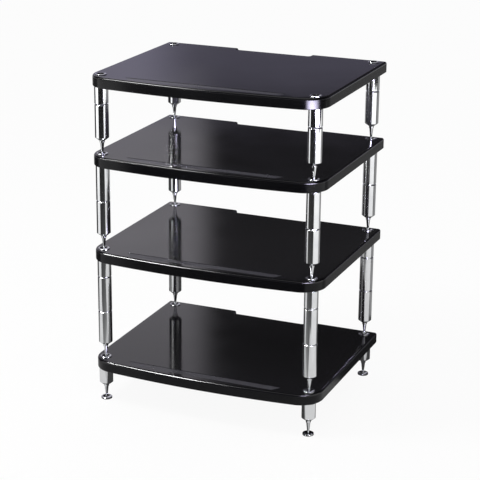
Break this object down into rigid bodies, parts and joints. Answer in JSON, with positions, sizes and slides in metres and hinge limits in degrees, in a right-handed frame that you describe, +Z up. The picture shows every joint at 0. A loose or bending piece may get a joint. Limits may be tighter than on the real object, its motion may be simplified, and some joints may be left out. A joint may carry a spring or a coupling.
{
  "type": "audio equipment rack",
  "caption": "Free-standing rack of bow-fronted black lacquered boards on polished screwed pillars, each level standing on spikes in dished cups, for audio equipment.",
  "frame": {"origin": "on the floor, under the middle of the boards", "axes": "+X to the right seen from the front, +Y to the rear, +Z up"},
  "size_m": [0.564, 0.4559, 0.7865],
  "materials": {
    "lacquered_board": "black high-gloss lacquer",
    "pillar": "polished",
    "cup": "bright",
    "spike": "bright",
    "floor_disc": "bright",
    "stud": "plain"
  },
  "bodies": {
    "bottom_level": {"bottom_shelf": "lacquered_board", "bottom_cups": "cup", "bottom_foot_front_left": "pillar", "bottom_foot_front_right": "pillar", "bottom_foot_rear_left": "pillar", "bottom_foot_rear_right": "pillar"},
    "lower_level": {"lower_shelf": "lacquered_board", "lower_cups": "cup", "lower_short_spacer_front_left": "pillar", "lower_short_spacer_front_right": "pillar", "lower_short_spacer_rear_left": "pillar", "lower_short_spacer_rear_right": "pillar", "lower_long_spacers": "pillar", "lower_end_piece_front_left": "pillar", "lower_end_piece_front_right": "pillar", "lower_end_piece_rear_left": "pillar", "lower_end_piece_rear_right": "pillar", "lower_studs": "stud"},
    "upper_level": {"upper_shelf": "lacquered_board", "upper_cups": "cup", "upper_long_spacer_front_left": "pillar", "upper_long_spacer_front_right": "pillar", "upper_long_spacer_rear_left": "pillar", "upper_long_spacer_rear_right": "pillar", "upper_end_piece_front_left": "pillar", "upper_end_piece_front_right": "pillar", "upper_end_piece_rear_left": "pillar", "upper_end_piece_rear_right": "pillar", "upper_studs": "stud"},
    "top_level": {"top_shelf": "lacquered_board", "top_cups": "cup", "top_short_spacer_front_left": "pillar", "top_short_spacer_front_right": "pillar", "top_short_spacer_rear_left": "pillar", "top_short_spacer_rear_right": "pillar", "top_end_piece_front_left": "pillar", "top_end_piece_front_right": "pillar", "top_end_piece_rear_left": "pillar", "top_end_piece_rear_right": "pillar", "top_studs": "stud"},
    "bottom_spike_front_left": {"bottom_spike_front_left": "spike"},
    "bottom_spike_front_right": {"bottom_spike_front_right": "spike"},
    "bottom_spike_rear_left": {"bottom_spike_rear_left": "spike"},
    "bottom_spike_rear_right": {"bottom_spike_rear_right": "spike"},
    "lower_spike_front_left": {"lower_spike_front_left": "spike"},
    "lower_spike_front_right": {"lower_spike_front_right": "spike"},
    "lower_spike_rear_left": {"lower_spike_rear_left": "spike"},
    "lower_spike_rear_right": {"lower_spike_rear_right": "spike"},
    "upper_spike_front_left": {"upper_spike_front_left": "spike"},
    "upper_spike_front_right": {"upper_spike_front_right": "spike"},
    "upper_spike_rear_left": {"upper_spike_rear_left": "spike"},
    "upper_spike_rear_right": {"upper_spike_rear_right": "spike"},
    "top_spike_front_left": {"top_spike_front_left": "spike"},
    "top_spike_front_right": {"top_spike_front_right": "spike"},
    "top_spike_rear_left": {"top_spike_rear_left": "spike"},
    "top_spike_rear_right": {"top_spike_rear_right": "spike"},
    "floor_disc_front_left": {"floor_disc_front_left": "floor_disc"},
    "floor_disc_front_right": {"floor_disc_front_right": "floor_disc"},
    "floor_disc_rear_left": {"floor_disc_rear_left": "floor_disc"},
    "floor_disc_rear_right": {"floor_disc_rear_right": "floor_disc"}
  },
  "joints": [
    {"name": "foot_front_left", "type": "slide", "parent": "bottom_level", "child": "floor_disc_front_left", "axis": [0, 0, -1], "range_m": [0, 0.01]},
    {"name": "bottom_spike_turn_front_left", "type": "hinge", "parent": "floor_disc_front_left", "child": "bottom_spike_front_left", "pos_m": [-0.256, -0.182, 0.0356], "axis": [0, 0, -1], "continuous": true},
    {"name": "foot_front_right", "type": "slide", "parent": "bottom_level", "child": "floor_disc_front_right", "axis": [0, 0, -1], "range_m": [0, 0.01]},
    {"name": "bottom_spike_turn_front_right", "type": "hinge", "parent": "floor_disc_front_right", "child": "bottom_spike_front_right", "pos_m": [0.256, -0.182, 0.0356], "axis": [0, 0, -1], "continuous": true},
    {"name": "foot_rear_left", "type": "slide", "parent": "bottom_level", "child": "floor_disc_rear_left", "axis": [0, 0, -1], "range_m": [0, 0.01]},
    {"name": "bottom_spike_turn_rear_left", "type": "hinge", "parent": "floor_disc_rear_left", "child": "bottom_spike_rear_left", "pos_m": [-0.256, 0.204, 0.0356], "axis": [0, 0, -1], "continuous": true},
    {"name": "foot_rear_right", "type": "slide", "parent": "bottom_level", "child": "floor_disc_rear_right", "axis": [0, 0, -1], "range_m": [0, 0.01]},
    {"name": "bottom_spike_turn_rear_right", "type": "hinge", "parent": "floor_disc_rear_right", "child": "bottom_spike_rear_right", "pos_m": [0.256, 0.204, 0.0356], "axis": [0, 0, -1], "continuous": true},
    {"name": "lower_raise", "type": "slide", "parent": "bottom_level", "child": "lower_level", "axis": [0, 0, 1], "range_m": [0, 0.01]},
    {"name": "lower_spike_turn_front_left", "type": "hinge", "parent": "bottom_level", "child": "lower_spike_front_left", "pos_m": [-0.256, -0.182, 0.1379], "axis": [0, 0, -1], "continuous": true},
    {"name": "lower_spike_turn_front_right", "type": "hinge", "parent": "bottom_level", "child": "lower_spike_front_right", "pos_m": [0.256, -0.182, 0.1379], "axis": [0, 0, -1], "continuous": true},
    {"name": "lower_spike_turn_rear_left", "type": "hinge", "parent": "bottom_level", "child": "lower_spike_rear_left", "pos_m": [-0.256, 0.204, 0.1379], "axis": [0, 0, -1], "continuous": true},
    {"name": "lower_spike_turn_rear_right", "type": "hinge", "parent": "bottom_level", "child": "lower_spike_rear_right", "pos_m": [0.256, 0.204, 0.1379], "axis": [0, 0, -1], "continuous": true},
    {"name": "upper_raise", "type": "slide", "parent": "lower_level", "child": "upper_level", "axis": [0, 0, 1], "range_m": [0, 0.01]},
    {"name": "upper_spike_turn_front_left", "type": "hinge", "parent": "lower_level", "child": "upper_spike_front_left", "pos_m": [-0.256, -0.182, 0.4062], "axis": [0, 0, -1], "continuous": true},
    {"name": "upper_spike_turn_front_right", "type": "hinge", "parent": "lower_level", "child": "upper_spike_front_right", "pos_m": [0.256, -0.182, 0.4062], "axis": [0, 0, -1], "continuous": true},
    {"name": "upper_spike_turn_rear_left", "type": "hinge", "parent": "lower_level", "child": "upper_spike_rear_left", "pos_m": [-0.256, 0.204, 0.4062], "axis": [0, 0, -1], "continuous": true},
    {"name": "upper_spike_turn_rear_right", "type": "hinge", "parent": "lower_level", "child": "upper_spike_rear_right", "pos_m": [0.256, 0.204, 0.4062], "axis": [0, 0, -1], "continuous": true},
    {"name": "top_raise", "type": "slide", "parent": "upper_level", "child": "top_level", "axis": [0, 0, 1], "range_m": [0, 0.01]},
    {"name": "top_spike_turn_front_left", "type": "hinge", "parent": "upper_level", "child": "top_spike_front_left", "pos_m": [-0.256, -0.182, 0.6325], "axis": [0, 0, -1], "continuous": true},
    {"name": "top_spike_turn_front_right", "type": "hinge", "parent": "upper_level", "child": "top_spike_front_right", "pos_m": [0.256, -0.182, 0.6325], "axis": [0, 0, -1], "continuous": true},
    {"name": "top_spike_turn_rear_left", "type": "hinge", "parent": "upper_level", "child": "top_spike_rear_left", "pos_m": [-0.256, 0.204, 0.6325], "axis": [0, 0, -1], "continuous": true},
    {"name": "top_spike_turn_rear_right", "type": "hinge", "parent": "upper_level", "child": "top_spike_rear_right", "pos_m": [0.256, 0.204, 0.6325], "axis": [0, 0, -1], "continuous": true}
  ],
  "couplings": [
    {"joint": "bottom_spike_turn_front_left", "follows": "foot_front_left", "rad_per_m": 5026.5},
    {"joint": "bottom_spike_turn_front_right", "follows": "foot_front_right", "rad_per_m": 5026.5},
    {"joint": "bottom_spike_turn_rear_left", "follows": "foot_rear_left", "rad_per_m": 5026.5},
    {"joint": "bottom_spike_turn_rear_right", "follows": "foot_rear_right", "rad_per_m": 5026.5},
    {"joint": "lower_spike_turn_front_left", "follows": "lower_raise", "rad_per_m": 5026.5},
    {"joint": "lower_spike_turn_front_right", "follows": "lower_raise", "rad_per_m": 5026.5},
    {"joint": "lower_spike_turn_rear_left", "follows": "lower_raise", "rad_per_m": 5026.5},
    {"joint": "lower_spike_turn_rear_right", "follows": "lower_raise", "rad_per_m": 5026.5},
    {"joint": "upper_spike_turn_front_left", "follows": "upper_raise", "rad_per_m": 5026.5},
    {"joint": "upper_spike_turn_front_right", "follows": "upper_raise", "rad_per_m": 5026.5},
    {"joint": "upper_spike_turn_rear_left", "follows": "upper_raise", "rad_per_m": 5026.5},
    {"joint": "upper_spike_turn_rear_right", "follows": "upper_raise", "rad_per_m": 5026.5},
    {"joint": "top_spike_turn_front_left", "follows": "top_raise", "rad_per_m": 5026.5},
    {"joint": "top_spike_turn_front_right", "follows": "top_raise", "rad_per_m": 5026.5},
    {"joint": "top_spike_turn_rear_left", "follows": "top_raise", "rad_per_m": 5026.5},
    {"joint": "top_spike_turn_rear_right", "follows": "top_raise", "rad_per_m": 5026.5}
  ]
}
